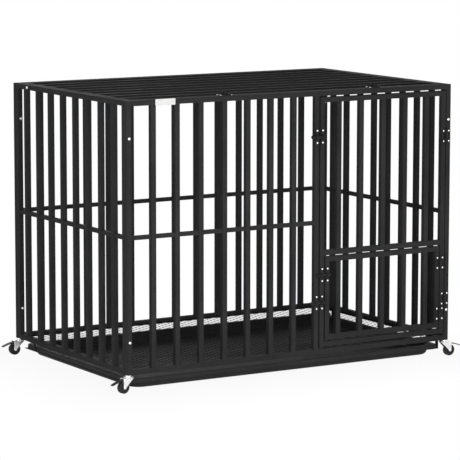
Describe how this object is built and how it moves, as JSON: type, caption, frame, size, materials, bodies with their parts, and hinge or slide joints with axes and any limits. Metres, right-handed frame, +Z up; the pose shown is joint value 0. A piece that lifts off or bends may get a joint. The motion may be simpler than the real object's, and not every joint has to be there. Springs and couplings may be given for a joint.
{
  "type": "dog crate",
  "caption": "Barred steel dog crate on swivel casters, with a hinged front door, a small door inside it, a top lid with sliding bolts, a mesh floor and a slide-out tray.",
  "frame": {"origin": "on the ground, under the middle of the crate", "axes": "+X along the crate's length to the right, +Y from the front to the back, +Z up"},
  "size_m": [1.2054, 0.7198, 0.833],
  "materials": {
    "black_steel": "black powder coat",
    "zinc": "bright zinc plating",
    "black_plastic": "moulded nylon",
    "plate": "white enamel, bare"
  },
  "bodies": {
    "frame": {"front_panel": "black_steel", "back_panel": "black_steel", "left_panel": "black_steel", "right_panel": "black_steel", "floor_grate": "black_steel", "tray_runner_left": "black_steel", "tray_runner_right": "black_steel", "name_plate": "plate", "door_hinge_lower_post_leaf": "black_steel", "door_hinge_upper_post_leaf": "black_steel", "door_latch_lower_barrel": "black_steel", "door_latch_upper_barrel": "black_steel", "lid_hinge_left_rail_leaf": "black_steel", "lid_hinge_right_rail_leaf": "black_steel", "lid_latch_left_barrel": "black_steel", "lid_latch_right_barrel": "black_steel", "caster_front_left_stem": "zinc", "caster_front_right_stem": "zinc", "caster_back_left_stem": "zinc", "caster_back_right_stem": "zinc"},
    "big_door": {"big_door": "black_steel", "door_hinge_lower_door_leaf": "black_steel", "door_hinge_upper_door_leaf": "black_steel", "door_latch_lower_keeper": "black_steel", "door_latch_upper_keeper": "black_steel", "small_hinge_lower_post_leaf": "black_steel", "small_hinge_upper_post_leaf": "black_steel", "small_latch_barrel": "black_steel"},
    "small_door": {"small_door": "black_steel", "small_hinge_lower_door_leaf": "black_steel", "small_hinge_upper_door_leaf": "black_steel", "small_latch_keeper": "black_steel"},
    "lid": {"lid": "black_steel", "lid_hinge_left_lid_leaf": "black_steel", "lid_hinge_right_lid_leaf": "black_steel", "lid_latch_left_keeper": "black_steel", "lid_latch_right_keeper": "black_steel"},
    "tray": {"tray_pan": "black_steel"},
    "door_bolt_lower": {"door_latch_lower_bolt": "black_steel"},
    "door_bolt_upper": {"door_latch_upper_bolt": "black_steel"},
    "small_bolt": {"small_latch_bolt": "black_steel"},
    "lid_bolt_left": {"lid_latch_left_bolt": "black_steel"},
    "lid_bolt_right": {"lid_latch_right_bolt": "black_steel"},
    "fork_front_left": {"caster_front_left_fork": "zinc"},
    "fork_front_right": {"caster_front_right_fork": "zinc"},
    "fork_back_left": {"caster_back_left_fork": "zinc"},
    "fork_back_right": {"caster_back_right_fork": "zinc"},
    "wheel_front_left": {"caster_front_left_wheel": "black_plastic"},
    "wheel_front_right": {"caster_front_right_wheel": "black_plastic"},
    "wheel_back_left": {"caster_back_left_wheel": "black_plastic"},
    "wheel_back_right": {"caster_back_right_wheel": "black_plastic"},
    "pedal_front_left": {"caster_front_left_pedal": "black_plastic"},
    "pedal_front_right": {"caster_front_right_pedal": "black_plastic"},
    "pedal_back_left": {"caster_back_left_pedal": "black_plastic"},
    "pedal_back_right": {"caster_back_right_pedal": "black_plastic"}
  },
  "joints": [
    {"name": "big_door_hinge", "type": "hinge", "parent": "frame", "child": "big_door", "pos_m": [0.53375, -0.3537, 0.05], "axis": [0, 0, 1], "range_deg": [0, 170]},
    {"name": "small_door_hinge", "type": "hinge", "parent": "big_door", "child": "small_door", "pos_m": [0.51625, -0.3537, 0.05], "axis": [0, 0, -1], "range_deg": [-170, 0]},
    {"name": "lid_hinge", "type": "hinge", "parent": "frame", "child": "lid", "pos_m": [0, 0.331, 0.8186], "axis": [-1, 0, 0], "range_deg": [0, 92]},
    {"name": "tray_slide", "type": "slide", "parent": "frame", "child": "tray", "axis": [0, -1, 0], "range_m": [0, 0.6]},
    {"name": "door_bolt_lower_slide", "type": "slide", "parent": "frame", "child": "door_bolt_lower", "axis": [1, 0, 0], "range_m": [0, 0.0095]},
    {"name": "door_bolt_upper_slide", "type": "slide", "parent": "frame", "child": "door_bolt_upper", "axis": [1, 0, 0], "range_m": [0, 0.0095]},
    {"name": "small_bolt_slide", "type": "slide", "parent": "big_door", "child": "small_bolt", "axis": [1, 0, 0], "range_m": [0, 0.0095]},
    {"name": "lid_bolt_left_slide", "type": "slide", "parent": "frame", "child": "lid_bolt_left", "axis": [0, 1, 0], "range_m": [0, 0.0095]},
    {"name": "lid_bolt_right_slide", "type": "slide", "parent": "frame", "child": "lid_bolt_right", "axis": [0, 1, 0], "range_m": [0, 0.0095]},
    {"name": "swivel_front_left", "type": "hinge", "parent": "frame", "child": "fork_front_left", "pos_m": [-0.5425, -0.34, 0.05], "axis": [0, 0, -1], "range_deg": [-156.4, 83.6]},
    {"name": "swivel_front_right", "type": "hinge", "parent": "frame", "child": "fork_front_right", "pos_m": [0.5425, -0.34, 0.05], "axis": [0, 0, 1], "range_deg": [-165, 75]},
    {"name": "swivel_back_left", "type": "hinge", "parent": "frame", "child": "fork_back_left", "pos_m": [-0.5425, 0.34, 0.05], "axis": [0, 0, 1], "range_deg": [-165, 75]},
    {"name": "swivel_back_right", "type": "hinge", "parent": "frame", "child": "fork_back_right", "pos_m": [0.5425, 0.34, 0.05], "axis": [0, 0, 1], "range_deg": [-75, 165]},
    {"name": "wheel_front_left_spin", "type": "hinge", "parent": "fork_front_left", "child": "wheel_front_left", "pos_m": [-0.5603, -0.34269, 0.0175], "axis": [0.1495, -0.9888, 0], "continuous": true},
    {"name": "wheel_front_right_spin", "type": "hinge", "parent": "fork_front_right", "child": "wheel_front_right", "pos_m": [0.5605, -0.34, 0.0175], "axis": [0, 1, 0], "continuous": true},
    {"name": "wheel_back_left_spin", "type": "hinge", "parent": "fork_back_left", "child": "wheel_back_left", "pos_m": [-0.5605, 0.34, 0.0175], "axis": [0, -1, 0], "continuous": true},
    {"name": "wheel_back_right_spin", "type": "hinge", "parent": "fork_back_right", "child": "wheel_back_right", "pos_m": [0.5605, 0.34, 0.0175], "axis": [0, 1, 0], "continuous": true},
    {"name": "pedal_front_left_tilt", "type": "hinge", "parent": "fork_front_left", "child": "pedal_front_left", "pos_m": [-0.56227, -0.34299, 0.0384], "axis": [0.1495, -0.9888, 0], "range_deg": [0, 12]},
    {"name": "pedal_front_right_tilt", "type": "hinge", "parent": "fork_front_right", "child": "pedal_front_right", "pos_m": [0.5625, -0.34, 0.0384], "axis": [0, 1, 0], "range_deg": [0, 12]},
    {"name": "pedal_back_left_tilt", "type": "hinge", "parent": "fork_back_left", "child": "pedal_back_left", "pos_m": [-0.5625, 0.34, 0.0384], "axis": [0, -1, 0], "range_deg": [0, 12]},
    {"name": "pedal_back_right_tilt", "type": "hinge", "parent": "fork_back_right", "child": "pedal_back_right", "pos_m": [0.5625, 0.34, 0.0384], "axis": [0, 1, 0], "range_deg": [0, 12]}
  ]
}
